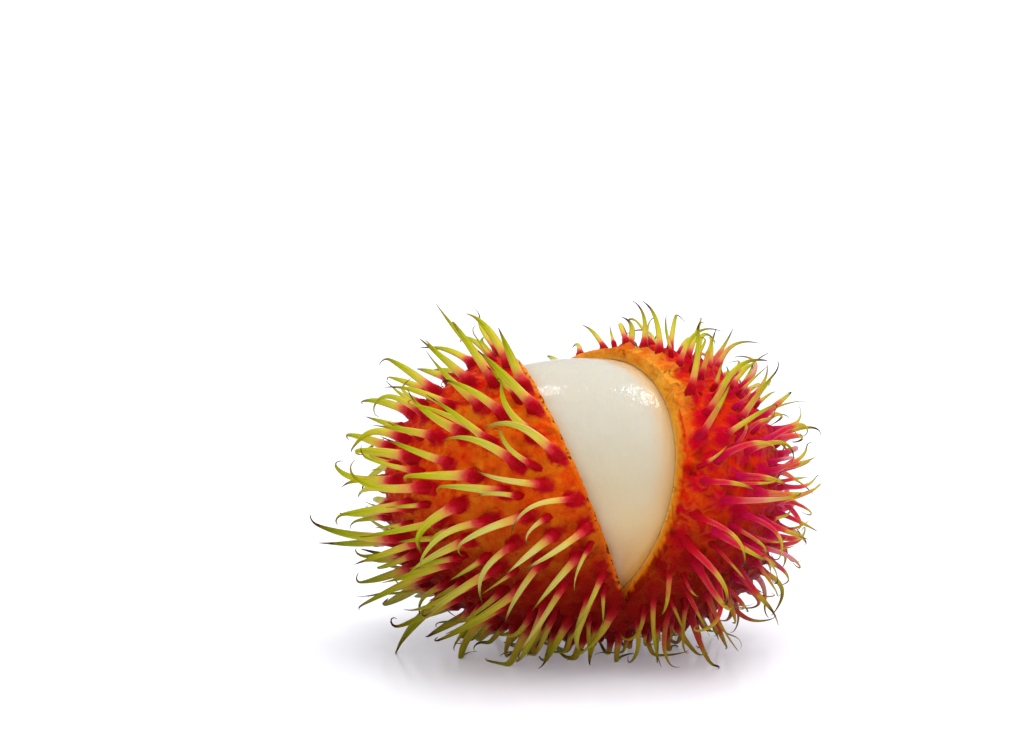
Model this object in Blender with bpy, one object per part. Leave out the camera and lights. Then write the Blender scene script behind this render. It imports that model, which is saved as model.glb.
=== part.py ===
# A rambutan that a knife has opened: the hairy rind, cut round and spread like a purse,
# with the pale flesh showing in the gap. Two solids: the rind with its soft spines, and the flesh.
#
# +X runs along the fruit to its blunt right half, +Z is up, and the fruit lies on z = 0.
# Every length below is in millimetres. Meshes are written in metres.

import math

import bmesh
import bpy
import numpy as np
from mathutils import Vector

MM = 0.001
X, Y, Z = 0, 1, 2

# The rind's outside is turned about X, with one profile for each half.
BODY_CENTRE = np.array([1.636, -1.091, 20.2])
BODY_HALF_LENGTH = 24.2
BODY_RADIUS = 17.8
LEFT_BLUNTNESS = 2.0
RIGHT_BLUNTNESS = 2.5

# The flesh is an egg shape that has risen a little towards the gap.
FLESH_CENTRE = BODY_CENTRE + np.array([0.2, -0.35, 0.65])
FLESH_HALF_LENGTH = 20.6
FLESH_RADIUS = 15.95
FLESH_BLUNTNESS = 2.15
FLESH_GAP = 0.35
FLESH_BANDS = 22
FLESH_SEGMENTS = 32

# The two sides of the gap are flat cuts. Each is a normal and its offset from the body's centre.
LEFT_CUT = (np.array([0.919, 0.176, 0.352]), -1.5)
RIGHT_CUT = (np.array([0.790, 0.540, -0.290]), 0.0)
LIP_BLEND = 2.5
LIP_ONSET = 3.0

# Roots lie in a lattice on the rind, one to each low wart, closer together on the right half. They keep
# off the lips.
SEED = 12
ROOT_COUNT = 356
RIGHT_CROWDING = 0.34
ROOT_JITTER = 0.6
ROOT_SPACING = 3.9
ROOT_SETTLING = 6
LIP_MARGIN = 1.45
GAP_KEEP = 0.9
WART_HEIGHT = 1.0

# Spines are combed away from a point on each side of the gap. They lean over, curl, and bend along the
# ground. Leans are degrees from straight out of the rind. Strong hooks are rarer on the left half.
LEFT_COMB = np.array([2.0, -16.0, 2.5])
RIGHT_COMB = np.array([9.0, -14.0, 3.0])
BACK_LEAN = 46.0
FRONT_LEAN = 67.0
RIGHT_LEAN = 12.0
UNDER_START = 0.35
UNDER_LEAN = 70.0
UNDER_SHORT = -0.75
LEFT_LENGTH = (7.2, 10.6)
LEFT_END_SHORT = 2.4
LOWER_LEFT_EXTRA = 3.2
LOWER_LEFT_LEAN = -10.0
RIGHT_LENGTH = (6.0, 9.0)
UNDERSIDE_LENGTH = (6.0, 8.0)
CURL_START = 0.022
MOST_HOOK = 0.15
HOOK_RARITY = (2.4, 1.0)
STAND_OFF = 1.75
FLOOR_PRESS = 0.05
FLOOR_BEND = 1.0

# A solid spine is a three-sided prism over a few stations of its path, and ends in a point.
SPINE_SIDES = 3
SPINE_STATIONS = (0.0, 0.26, 0.52, 0.78, 1.0)
SPINE_RADII = (0.95, 0.62, 0.54, 0.40, 0.0)
PATH_STEPS = 24

# Spines are tried in turn until one stands clear of its neighbours.
TRIES = 90
CLEARANCE = 0.16
CHORD_POINTS = 4
REACH = 18.0
WART_BLOCK = 1.15


def bluntness(x):
    return np.where(x < 0, LEFT_BLUNTNESS, RIGHT_BLUNTNESS)


def body_level(points):
    """1 on the rind's outside, less inside it. Points are from the body's centre."""
    power = bluntness(points[..., X])
    along = np.abs(points[..., X] / BODY_HALF_LENGTH) ** power
    across = (np.hypot(points[..., Y], points[..., Z]) / BODY_RADIUS) ** power
    return (along + across) ** (1 / power)


def body_normal(points):
    power = bluntness(points[..., X])
    radius = np.maximum(np.hypot(points[..., Y], points[..., Z]), 1e-9)
    along = np.abs(points[..., X] / BODY_HALF_LENGTH) ** (power - 1) / BODY_HALF_LENGTH
    across = (radius / BODY_RADIUS) ** (power - 1) / BODY_RADIUS
    normal = np.stack(
        [
            np.sign(points[..., X]) * along,
            across * points[..., Y] / radius,
            across * points[..., Z] / radius,
        ],
        axis=-1,
    )
    return normal / np.linalg.norm(normal, axis=-1, keepdims=True)


def on_body(points):
    return points / body_level(points)[..., None]


def height_over_body(points):
    """How far points stand off the rind's outside, close to it."""
    size = np.linalg.norm(points, axis=-1)
    outward = points / size[..., None]
    slope = np.sum(outward * body_normal(points), axis=-1)
    return (size - size / body_level(points)) * slope


def unit(vectors):
    return vectors / np.maximum(np.linalg.norm(vectors, axis=-1, keepdims=True), 1e-12)


def crowding(x):
    """How many roots share the area that one has on the left half."""
    share = np.clip((x - 1.0) / 9.0, 0.0, 1.0)
    return 1 + RIGHT_CROWDING * share * share * (3 - 2 * share)


def root_lattice(rng):
    """Points on the rind, evenly apart on each half: a golden-angle spiral along X."""
    theta = np.linspace(0.0, math.pi, 4001)
    cosine, sine = -np.cos(theta), np.sin(theta)
    power = bluntness(cosine)
    x = BODY_HALF_LENGTH * np.sign(cosine) * np.abs(cosine) ** (2 / power)
    radius = BODY_RADIUS * sine ** (2 / power)
    band = np.hypot(np.diff(x), np.diff(radius)) * (radius[1:] + radius[:-1]) * crowding(x[1:])
    area = np.concatenate([[0.0], np.cumsum(band)])
    share = (np.arange(ROOT_COUNT) + 0.5) / ROOT_COUNT
    root_x = np.interp(share * area[-1], area, x)
    root_radius = np.interp(share * area[-1], area, radius)
    angle = np.arange(ROOT_COUNT) * math.pi * (3 - math.sqrt(5))
    points = np.stack([root_x, root_radius * np.cos(angle), root_radius * np.sin(angle)], axis=-1)
    points = on_body(points + rng.uniform(-ROOT_JITTER, ROOT_JITTER, points.shape))
    for _ in range(ROOT_SETTLING):
        apart = points[:, None] - points[None]
        spacing = ROOT_SPACING / np.sqrt(crowding(points[:, X]))
        spacing = (spacing[:, None] + spacing[None]) / 2
        distance = np.linalg.norm(apart, axis=-1) + np.eye(ROOT_COUNT) * ROOT_SPACING
        push = np.maximum(spacing - distance, 0.0) / distance
        points = off_lips(on_body(points + 0.4 * np.sum(apart * push[..., None], axis=1)))
    return points


def beyond_cut(points, cut):
    """How far points lie on the +X side of a cut."""
    normal, offset = cut
    return points @ unit(normal) - offset


def gap_depth(points):
    """How far points lie inside the gap, less than 0 outside it."""
    return np.minimum(beyond_cut(points, LEFT_CUT), -beyond_cut(points, RIGHT_CUT))


def off_lips(points):
    """Moves roots that are on a lip, or just inside the gap, back onto the rind."""
    for cut, side in ((LEFT_CUT, 1), (RIGHT_CUT, -1)):
        depth = gap_depth(points)
        own = side * beyond_cut(points, cut)
        close = (depth > -LIP_MARGIN) & (depth < GAP_KEEP) & (own <= depth + 1e-9)
        points = points - np.where(close, own + LIP_MARGIN, 0.0)[:, None] * side * unit(cut[0])
        points = on_body(points)
    return points


def wart_cells(roots):
    """The rind's outside as a mesh with one many-sided face round each root."""
    hull = bmesh.new()
    for root in roots:
        hull.verts.new(root)
    hull.verts.index_update()
    bmesh.ops.convex_hull(hull, input=hull.verts)
    bmesh.ops.triangulate(hull, faces=hull.faces)
    hull.faces.index_update()
    cells = bmesh.new()
    owner = cells.faces.layers.int.new("root")
    centres = np.array([face.calc_center_median() for face in hull.faces])
    corners = [cells.verts.new(point) for point in on_body(centres)]
    for vert in hull.verts:
        normal = Vector(body_normal(roots[vert.index]))
        side = normal.orthogonal().normalized()
        other = normal.cross(side)

        def turn(face):
            arm = Vector(centres[face.index]) - vert.co
            return math.atan2(arm.dot(other), arm.dot(side))

        ring = [corners[face.index] for face in sorted(vert.link_faces, key=turn)]
        cells.faces.new(ring)[owner] = vert.index + 1
    hull.free()
    return cells


def cut_gap(cells):
    """Takes the gap out of the rind along the two flat cuts."""
    for normal, offset in (LEFT_CUT, RIGHT_CUT):
        direction = unit(normal)
        near = [
            face
            for face in cells.faces
            if gap_depth(np.array([vert.co for vert in face.verts])).max() > -0.01
        ]
        parts = {part for face in near for part in (face, *face.edges, *face.verts)}
        bmesh.ops.bisect_plane(
            cells,
            geom=list(parts),
            dist=0.02,
            plane_co=direction * offset,
            plane_no=direction,
        )
    lost = [face for face in cells.faces if gap_depth(np.array(face.calc_center_median())) > 0]
    bmesh.ops.delete(cells, geom=lost, context="FACES")
    owner = cells.faces.layers.int["root"]
    split = [
        edge
        for edge in cells.edges
        if len(edge.link_faces) == 2 and len({face[owner] for face in edge.link_faces}) == 1
    ]
    bmesh.ops.dissolve_edges(cells, edges=split, use_verts=False)


def flesh_level(point, gap=0.0):
    """1 on the outside of the flesh, or on a skin that stands that gap off it."""
    local = point + BODY_CENTRE - FLESH_CENTRE
    along = abs(local[X] / (FLESH_HALF_LENGTH + gap)) ** FLESH_BLUNTNESS
    across = (math.hypot(local[Y], local[Z]) / (FLESH_RADIUS + gap)) ** FLESH_BLUNTNESS
    return (along + across) ** (1 / FLESH_BLUNTNESS)


def lip_weight(point, cut, gap_side):
    """Near 1 on a lip of the gap, fading to 0 away from it. gap_side is how far the point is inside the other cut."""
    away = math.exp(-((beyond_cut(point, cut) / LIP_BLEND) ** 2))
    return away / (1 + math.exp(-LIP_ONSET * gap_side))


def inward_direction(point):
    """Straight in from the rind's outside, but along the flat cut on a lip."""
    direction = -body_normal(point)
    sides = (
        (LEFT_CUT, -beyond_cut(point, RIGHT_CUT)),
        (RIGHT_CUT, beyond_cut(point, LEFT_CUT)),
    )
    for cut, gap_side in sides:
        normal = unit(cut[0])
        along_cut = unit(direction - (direction @ normal) * normal)
        direction = unit(direction + (along_cut - direction) * lip_weight(point, cut, gap_side))
    return direction


def inner_face(point):
    """The point of the rind's inner face that lies behind a point of its outside."""
    direction = inward_direction(point)
    near, far = 0.0, BODY_RADIUS
    for _ in range(40):
        middle = (near + far) / 2
        if flesh_level(point + direction * middle, FLESH_GAP) > 1:
            near = middle
        else:
            far = middle
    return point + direction * near


def lining(shell):
    """Adds the rind's inner face behind its outside, and the cut faces of the two lips."""
    outside = list(shell.faces)
    lips = [edge for edge in shell.edges if edge.is_boundary]
    inner = {vert: shell.verts.new(inner_face(np.array(vert.co))) for vert in list(shell.verts)}
    for edge in lips:
        start, end = (loop.vert for loop in (edge.link_loops[0], edge.link_loops[0].link_loop_next))
        shell.faces.new([end, start, inner[start], inner[end]])
    for face in outside:
        shell.faces.new([inner[vert] for vert in reversed(face.verts)])


def right_share(root):
    """0 on the left half of the fruit and 1 on its right half, blended where they join."""
    return min(1.0, max(0.0, (root[X] + 3.0) / 10.0))


def sweep_of(root, normal):
    """The way spines are combed on the rind: along it, away from the gap."""
    away = root - LEFT_COMB - (RIGHT_COMB - LEFT_COMB) * right_share(root)
    return unit(away - (away @ normal) * normal)


def lower_left(normal):
    """Near 1 where the rind faces left and down."""
    return 2 * max(0.0, -normal[X]) * min(1.0, max(0.0, -normal[Z]))


def lean_of(normal):
    """Degrees that a spine leans over from straight out: most towards the front, and flat underneath."""
    front = (1 - normal[Y]) / 2
    lean = BACK_LEAN + (FRONT_LEAN - BACK_LEAN) * front + RIGHT_LEAN * max(0.0, normal[X])
    lean += LOWER_LEFT_LEAN * lower_left(normal)
    under = max(0.0, -normal[Z] - UNDER_START) / (1 - UNDER_START)
    return lean + (UNDER_LEAN - lean) * min(1.0, 1.6 * under)


def spine_tries(root, normal, rng):
    """Many ways for one spine to grow from its root: paths as an array of tries, stations and X, Y, Z."""
    sweep = sweep_of(root, normal)
    side = np.cross(normal, sweep)
    wild = np.linspace(0.6, 2.2, TRIES)
    turn = np.radians(rng.normal(0.0, 15.0 + 9.0 * right_share(root), TRIES) * wild)
    lean = np.radians(np.clip(lean_of(normal) + rng.normal(0.0, 8.0, TRIES) * wild, 4.0, 84.0))
    lengths = np.array(LEFT_LENGTH) + (np.array(RIGHT_LENGTH) - LEFT_LENGTH) * right_share(root)
    lengths += LOWER_LEFT_EXTRA * lower_left(normal) - LEFT_END_SHORT * max(0.0, -normal[X]) ** 4
    if normal[Z] < UNDER_SHORT:
        lengths = UNDERSIDE_LENGTH
    length = rng.uniform(*lengths, TRIES) * np.linspace(1.0, 0.72, TRIES)
    heading = np.cos(turn)[:, None] * sweep + np.sin(turn)[:, None] * side
    heading = np.cos(lean)[:, None] * normal + np.sin(lean)[:, None] * heading
    curl = unit(
        rng.normal(0.0, 0.8, (TRIES, 3))
        + 0.35 * sweep
        - 0.35 * normal
        + np.array([0.0, 0.0, -0.3])
    )
    rarity = HOOK_RARITY[0] + (HOOK_RARITY[1] - HOOK_RARITY[0]) * right_share(root)
    hook = MOST_HOOK * rng.random(TRIES) ** rarity
    step = length / PATH_STEPS
    place = np.repeat((root + normal * WART_HEIGHT)[None], TRIES, axis=0)
    path = [place]
    for index in range(PATH_STEPS):
        share = index / PATH_STEPS
        bend = (CURL_START + hook * 6.0 * share**2) * step
        heading = unit(heading + bend[:, None] * (curl - heading * np.sum(curl * heading, axis=-1)[:, None]))
        away = height_over_body(place)
        lift = np.clip((STAND_OFF - away) / 1.5, 0.0, 1.0) * min(1.0, share * 8)
        heading = unit(heading + lift[:, None] * body_normal(place) * 0.5)
        over_floor = place[:, Z] + BODY_CENTRE[Z] - FLOOR_PRESS
        heading[:, Z] = np.maximum(heading[:, Z], -np.maximum(over_floor, 0.0) / FLOOR_BEND)
        heading = unit(heading)
        place = place + heading * step[:, None]
        path.append(place)
    return np.stack(path, axis=1)


def chords(path):
    """The stations of a path that the solid spine has, and points along the straight runs between them."""
    stations = path[:, [round(PATH_STEPS * share) for share in SPINE_STATIONS]]
    share = np.linspace(0.0, 1.0, CHORD_POINTS, endpoint=False)[None, None, :, None]
    runs = stations[:, :-1, None] * (1 - share) + stations[:, 1:, None] * share
    radii = np.array(SPINE_RADII)
    share = share[0, :, :, 0]
    thick = radii[:-1, None] * (1 - share) + radii[1:, None] * share
    count = (len(SPINE_STATIONS) - 1) * CHORD_POINTS
    return stations, runs.reshape(len(path), count, 3), thick.reshape(count)


def grow_spines(roots, rng):
    """One path of stations for each root, each clear of the spines before it and of every wart."""
    normals = body_normal(roots)
    grown, placed, sizes = {}, np.zeros((0, 3)), np.zeros(0)
    worst = []
    for index, (root, normal) in enumerate(zip(roots, normals)):
        if gap_depth(root) > 0:
            continue
        stations, points, thick = chords(spine_tries(root, normal, rng))
        others = np.delete(roots, index, axis=0)
        others = others[np.linalg.norm(others - root, axis=-1) < REACH]
        tops = others + body_normal(others) * WART_HEIGHT * 0.5
        near = np.linalg.norm(placed - root, axis=-1) < REACH
        blocks = np.concatenate([placed[near], tops])
        block_sizes = np.concatenate([sizes[near], np.full(len(tops), WART_BLOCK)])
        gaps = np.linalg.norm(points[:, :, None] - blocks[None, None], axis=-1)
        gaps = (gaps - thick[None, :, None] - block_sizes[None, None]).min(axis=(1, 2))
        off_body = (height_over_body(points) - thick)[:, CHORD_POINTS:].min(axis=1)
        room = np.minimum(gaps, off_body)
        clear = np.flatnonzero(room > CLEARANCE)
        pick = clear[0] if len(clear) else int(np.argmax(room))
        if not len(clear):
            worst.append((index, float(room[pick])))
        grown[index] = stations[pick]
        placed = np.concatenate([placed, points[pick]])
        sizes = np.concatenate([sizes, thick])
    return grown, worst


def ring_round(centre, heading, upward, radius):
    """The corners of a spine's section, with one flat side turned away from upward."""
    side = unit(np.cross(upward, heading))
    over = np.cross(heading, side)
    angles = math.pi / 2 + 2 * math.pi * np.arange(SPINE_SIDES) / SPINE_SIDES
    return centre + radius * (np.outer(np.cos(angles), side) + np.outer(np.sin(angles), over))


def spine_rings(stations, normal):
    """The corners of a spine at each station but its tip, pressed flat where it lies on the ground."""
    runs = unit(np.diff(stations, axis=0))
    rings = []
    for index, radius in enumerate(SPINE_RADII[:-1]):
        heading = unit(runs[index] + (runs[index - 1] if index else normal))
        low = stations[index][Z] + BODY_CENTRE[Z] < radius
        ring = ring_round(stations[index], heading, np.array([0.0, 0.0, 1.0]) if low else normal, radius)
        if rings:
            before = rings[-1] - stations[index - 1]
            turned = [np.roll(ring, roll, axis=0) for roll in range(SPINE_SIDES)]
            ring = min(turned, key=lambda corners: np.sum((corners - stations[index] - before) ** 2))
        rings.append(ring)
    for ring in rings:
        ring[:, Z] = np.maximum(ring[:, Z], -BODY_CENTRE[Z])
    return rings


def turns_round(centre, normal, ring):
    """The ring's corners with their angles round the centre, in order from the smallest angle."""
    side = unit(np.cross(normal, [0.31, 0.55, 0.77]))
    arms = np.array([vert.co for vert in ring]) - centre
    angles = np.arctan2(arms @ np.cross(normal, side), arms @ side)
    first = int(np.argmin(angles))
    return [(angles[(first + k) % len(ring)], ring[(first + k) % len(ring)]) for k in range(len(ring))]


def raise_spine(shell, face, stations, normal):
    """Turns one flat cell of the rind into a wart with its spine."""
    cell = turns_round(stations[0], normal, list(face.verts))
    if any(after[0] <= before[0] for before, after in zip(cell, cell[1:])):
        return
    shell.faces.remove(face)
    rings = [[shell.verts.new(corner) for corner in ring] for ring in spine_rings(stations, normal)]
    foot = turns_round(stations[0], normal, rings[0])
    outer, inner = cell[-1][1], foot[-1][1]
    steps = [(angle, 0, vert) for angle, vert in cell] + [(angle, 1, vert) for angle, vert in foot]
    for _, ring, vert in sorted(steps, key=lambda step: step[:2]):
        shell.faces.new([outer, vert, inner])
        if ring == 0:
            outer = vert
        else:
            inner = vert
    for low, high in zip(rings, rings[1:]):
        for corner in range(SPINE_SIDES):
            after = (corner + 1) % SPINE_SIDES
            shell.faces.new([low[corner], low[after], high[after], high[corner]])
    tip = shell.verts.new([*stations[-1][:Z], max(stations[-1][Z], -BODY_CENTRE[Z])])
    for corner in range(SPINE_SIDES):
        shell.faces.new([rings[-1][corner], rings[-1][(corner + 1) % SPINE_SIDES], tip])


def plain_material(name, colour, roughness):
    material = bpy.data.materials.new(name)
    material.use_nodes = True
    surface = material.node_tree.nodes["Principled BSDF"]
    surface.inputs["Base Color"].default_value = (*colour, 1.0)
    surface.inputs["Roughness"].default_value = roughness
    surface.inputs["Metallic"].default_value = 0.0
    return material


def add_object(name, mesh, material):
    """Makes an object, in metres, from a mesh in millimetres round the body's centre."""
    bmesh.ops.translate(mesh, verts=mesh.verts, vec=Vector(BODY_CENTRE))
    bmesh.ops.scale(mesh, verts=mesh.verts, vec=(MM, MM, MM))
    bmesh.ops.triangulate(mesh, faces=mesh.faces)
    data = bpy.data.meshes.new(name)
    mesh.to_mesh(data)
    mesh.free()
    data.materials.append(material)
    made = bpy.data.objects.new(name, data)
    bpy.context.scene.collection.objects.link(made)
    return made


def make_rind():
    rng = np.random.default_rng(SEED)
    roots = root_lattice(rng)
    shell = wart_cells(roots)
    cut_gap(shell)
    spines, worst = grow_spines(roots, rng)
    lining(shell)
    owner = shell.faces.layers.int["root"]
    print("spines", len(spines), "tight", worst)
    cells = {}
    for face in shell.faces:
        cells.setdefault(face[owner] - 1, []).append(face)
    for index, stations in spines.items():
        own = cells[index]
        face = min(own, key=lambda face: (face.calc_center_median() - Vector(roots[index])).length)
        raise_spine(shell, face, stations, body_normal(roots[index]))
    bmesh.ops.recalc_face_normals(shell, faces=shell.faces)
    return add_object("rind", shell, plain_material("rind", (0.78, 0.13, 0.03), 0.5))


def make_flesh():
    """The flesh is turned about X, through its two ends."""
    mesh = bmesh.new()
    centre = FLESH_CENTRE - BODY_CENTRE
    power = 2 / FLESH_BLUNTNESS
    rings = []
    for step in range(1, FLESH_BANDS):
        theta = math.pi * step / FLESH_BANDS
        x = -FLESH_HALF_LENGTH * math.copysign(abs(math.cos(theta)) ** power, math.cos(theta))
        radius = FLESH_RADIUS * math.sin(theta) ** power
        turns = [2 * math.pi * segment / FLESH_SEGMENTS for segment in range(FLESH_SEGMENTS)]
        rings.append([
            mesh.verts.new(centre + [x, radius * math.cos(turn), radius * math.sin(turn)])
            for turn in turns
        ])
    for low, high in zip(rings, rings[1:]):
        for segment in range(FLESH_SEGMENTS):
            after = (segment + 1) % FLESH_SEGMENTS
            mesh.faces.new([low[segment], low[after], high[after], high[segment]])
    for ring, x in ((rings[0], -FLESH_HALF_LENGTH), (rings[-1], FLESH_HALF_LENGTH)):
        end = mesh.verts.new(centre + [x, 0.0, 0.0])
        for segment in range(FLESH_SEGMENTS):
            mesh.faces.new([ring[segment], ring[(segment + 1) % FLESH_SEGMENTS], end])
    bmesh.ops.recalc_face_normals(mesh, faces=mesh.faces)
    made = add_object("flesh", mesh, plain_material("flesh", (0.84, 0.80, 0.66), 0.25))
    made.data.shade_smooth()
    return made


def main():
    for old in list(bpy.data.objects):
        bpy.data.objects.remove(old)
    make_rind()
    make_flesh()


main()
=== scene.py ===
import math

import bmesh
import bpy
import numpy as np
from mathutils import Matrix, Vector, noise
from mathutils.kdtree import KDTree


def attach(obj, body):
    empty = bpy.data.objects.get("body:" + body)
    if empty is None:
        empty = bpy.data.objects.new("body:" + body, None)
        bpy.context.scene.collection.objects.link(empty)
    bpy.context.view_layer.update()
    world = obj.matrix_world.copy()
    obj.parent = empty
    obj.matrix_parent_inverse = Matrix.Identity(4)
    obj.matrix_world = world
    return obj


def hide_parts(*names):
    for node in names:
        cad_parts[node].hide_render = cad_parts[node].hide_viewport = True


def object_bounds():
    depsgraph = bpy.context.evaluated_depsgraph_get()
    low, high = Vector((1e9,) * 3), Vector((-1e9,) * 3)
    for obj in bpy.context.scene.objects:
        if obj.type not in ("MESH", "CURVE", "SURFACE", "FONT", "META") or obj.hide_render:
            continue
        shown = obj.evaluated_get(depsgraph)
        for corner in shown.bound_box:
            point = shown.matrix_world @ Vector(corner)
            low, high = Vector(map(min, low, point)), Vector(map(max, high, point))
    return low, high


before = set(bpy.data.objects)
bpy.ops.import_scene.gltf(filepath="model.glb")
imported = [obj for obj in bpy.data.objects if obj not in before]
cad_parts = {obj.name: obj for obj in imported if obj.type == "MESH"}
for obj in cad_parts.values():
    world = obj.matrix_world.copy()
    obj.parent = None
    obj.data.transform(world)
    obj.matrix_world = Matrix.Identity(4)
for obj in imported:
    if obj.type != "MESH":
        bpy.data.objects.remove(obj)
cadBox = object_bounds()
print("frame loaded", sorted(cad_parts))

# Lengths are in millimetres round the middle of the fruit's body. Meshes are written in metres.
mm = 0.001

fruit = {
    "centre": np.array([1.636, -1.091, 20.2]),
    "halfLength": 24.2,
    "radius": 17.8,
    "leftBluntness": 2.0,
    "rightBluntness": 2.5,
    "leftCut": (np.array([0.919, 0.176, 0.352]), -1.5),  # normal and offset of each flat cut
    "rightCut": (np.array([0.79, 0.54, -0.29]), 0.0),
}
bodySize = np.array([fruit["halfLength"], fruit["radius"], fruit["radius"]])
floorLevel = -fruit["centre"][2]


def sizeOf(vectors):
    return np.linalg.norm(vectors, axis=-1)


def unit(vectors):
    return vectors / np.maximum(np.linalg.norm(vectors, axis=-1, keepdims=True), 1e-12)


def smoothStep(low, high, value):
    share = np.clip((value - low) / (high - low), 0.0, 1.0)
    return share * share * (3 - 2 * share)


def bluntness(alongX):
    return np.where(alongX < 0, fruit["leftBluntness"], fruit["rightBluntness"])


def bodyLevel(points):  # 1 on the rind's outside, less inside it
    power = bluntness(points[..., 0])
    along = np.abs(points[..., 0] / fruit["halfLength"]) ** power
    across = (np.hypot(points[..., 1], points[..., 2]) / fruit["radius"]) ** power
    return (along + across) ** (1 / power)


def bodyNormal(points):
    power = bluntness(points[..., 0])
    radius = np.maximum(np.hypot(points[..., 1], points[..., 2]), 1e-9)
    along = np.abs(points[..., 0] / fruit["halfLength"]) ** (power - 1) / fruit["halfLength"]
    across = (radius / fruit["radius"]) ** (power - 1) / fruit["radius"]
    ends = np.sign(points[..., 0]) * along
    return unit(np.stack([ends, across * points[..., 1] / radius, across * points[..., 2] / radius], axis=-1))


def onBody(points):
    return points / bodyLevel(points)[..., None]


def heightOverBody(points):
    size = sizeOf(points)
    slope = np.sum(points / size[..., None] * bodyNormal(points), axis=-1)
    return (size - size / bodyLevel(points)) * slope


def beyondCut(points, cut):
    return points @ unit(cut[0]) - cut[1]


def gapDepth(points):  # above 0 inside the gap
    return np.minimum(beyondCut(points, fruit["leftCut"]), -beyondCut(points, fruit["rightCut"]))


def rumple(points, size, seed):  # soft noise from -1 to 1, with bumps of about this size
    shift = Vector((seed * 7.3, seed * 3.1, seed * 5.7))
    return np.array([noise.noise(Vector(point) / size + shift) for point in points])


def addToScene(name, data):
    thing = bpy.data.objects.new(name, data)
    bpy.context.scene.collection.objects.link(thing)
    return thing


def makeObject(name, verts, faces, material):
    mesh = bpy.data.meshes.new(name)
    mesh.from_pydata(((verts + fruit["centre"]) * mm).tolist(), [], faces)
    mesh.materials.append(material)
    mesh.shade_smooth()
    return addToScene(name, mesh)


def paintPoints(piece, **values):  # one number for each point, read by the piece's material
    for name, numbers in values.items():
        layer = piece.data.attributes.new(name, "FLOAT", "POINT")
        layer.data.foreach_set("value", np.asarray(numbers, dtype=np.float32))


# Roots: one to each wart, in an even spiral lattice that keeps off the lips.
roots = {
    "seed": 12,
    "count": 356,
    "rightCrowding": 0.34,
    "jitter": 0.6,
    "spacing": 3.9,
    "settling": 6,
    "push": 0.4,
    "lipMargin": 1.45,
    "gapKeep": 0.9,
    "wartHeight": 1.0,
}


def offLips(points):
    for cut, side in ((fruit["leftCut"], 1), (fruit["rightCut"], -1)):
        depth = gapDepth(points)
        own = side * beyondCut(points, cut)
        close = (depth > -roots["lipMargin"]) & (depth < roots["gapKeep"]) & (own <= depth + 1e-9)
        points = points - np.where(close, own + roots["lipMargin"], 0.0)[:, None] * side * unit(cut[0])
        points = onBody(points)
    return points


def crowding(alongX):  # how many roots share the area that one has on the left half
    return 1 + roots["rightCrowding"] * smoothStep(1.0, 10.0, alongX)


def rootLattice(rng):
    count = roots["count"]
    theta = np.linspace(0.0, math.pi, 4001)
    cosine, sine = -np.cos(theta), np.sin(theta)
    power = bluntness(cosine)
    alongX = fruit["halfLength"] * np.sign(cosine) * np.abs(cosine) ** (2 / power)
    radius = fruit["radius"] * sine ** (2 / power)
    band = np.hypot(np.diff(alongX), np.diff(radius)) * (radius[1:] + radius[:-1]) * crowding(alongX[1:])
    area = np.concatenate([[0.0], np.cumsum(band)])
    share = (np.arange(count) + 0.5) / count
    rootX = np.interp(share * area[-1], area, alongX)
    rootRadius = np.interp(share * area[-1], area, radius)
    angle = np.arange(count) * math.pi * (3 - math.sqrt(5))
    points = np.stack([rootX, rootRadius * np.cos(angle), rootRadius * np.sin(angle)], axis=-1)
    points = onBody(points + rng.uniform(-roots["jitter"], roots["jitter"], points.shape))
    for _ in range(roots["settling"]):
        apart = points[:, None] - points[None]
        spacing = roots["spacing"] / np.sqrt(crowding(points[:, 0]))
        spacing = (spacing[:, None] + spacing[None]) / 2
        distance = sizeOf(apart) + np.eye(count) * roots["spacing"]
        push = np.maximum(spacing - distance, 0.0) / distance
        points = offLips(onBody(points + roots["push"] * np.sum(apart * push[..., None], axis=1)))
    return points


# Growth: spines are combed away from the gap, lean over, curl, and bend along the ground.
growth = {
    "leftComb": np.array([2.0, -16.0, 2.5]),
    "rightComb": np.array([9.0, -14.0, 3.0]),
    "backLean": 46.0,
    "frontLean": 67.0,
    "rightLean": 12.0,
    "underStart": 0.35,
    "underLean": 70.0,
    "underShort": -0.75,
    "leftLength": (7.2, 10.6),
    "leftEndShort": 2.4,
    "lowerLeftExtra": 3.2,
    "lowerLeftLean": -10.0,
    "rightLength": (6.0, 9.0),
    "undersideLength": (6.0, 8.0),
    "curlStart": 0.022,
    "mostHook": 0.15,
    "hookRarity": (2.4, 1.0),  # strong hooks are rarer on the left half
    "standOff": 1.75,
    "floorPress": 0.05,
    "floorBend": 1.0,
    "steps": 24,
    "tries": 90,
    "wildness": (0.6, 2.2),  # of the first and the last try
    "turnSpread": (15.0, 9.0),  # in degrees, and how much more on the right half
    "leanSpread": 8.0,
    "leanLimits": (4.0, 84.0),
    "lastLength": 0.72,  # of the last try, against the first
    "clearance": 0.16,
    "chordPoints": 4,
    "reach": 18.0,
    "wartBlock": 1.15,
    "solidStations": (0.0, 0.26, 0.52, 0.78, 1.0),  # the stations and radii of the solid spines
    "solidRadii": (0.95, 0.62, 0.54, 0.4, 0.0),
}


def rightShare(root):
    return min(1.0, max(0.0, (root[0] + 3.0) / 10.0))


def lowerLeft(normal):
    return 2 * max(0.0, -normal[0]) * min(1.0, max(0.0, -normal[2]))


def sweepOf(root, normal):
    away = root - growth["leftComb"] - (growth["rightComb"] - growth["leftComb"]) * rightShare(root)
    return unit(away - (away @ normal) * normal)


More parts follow.
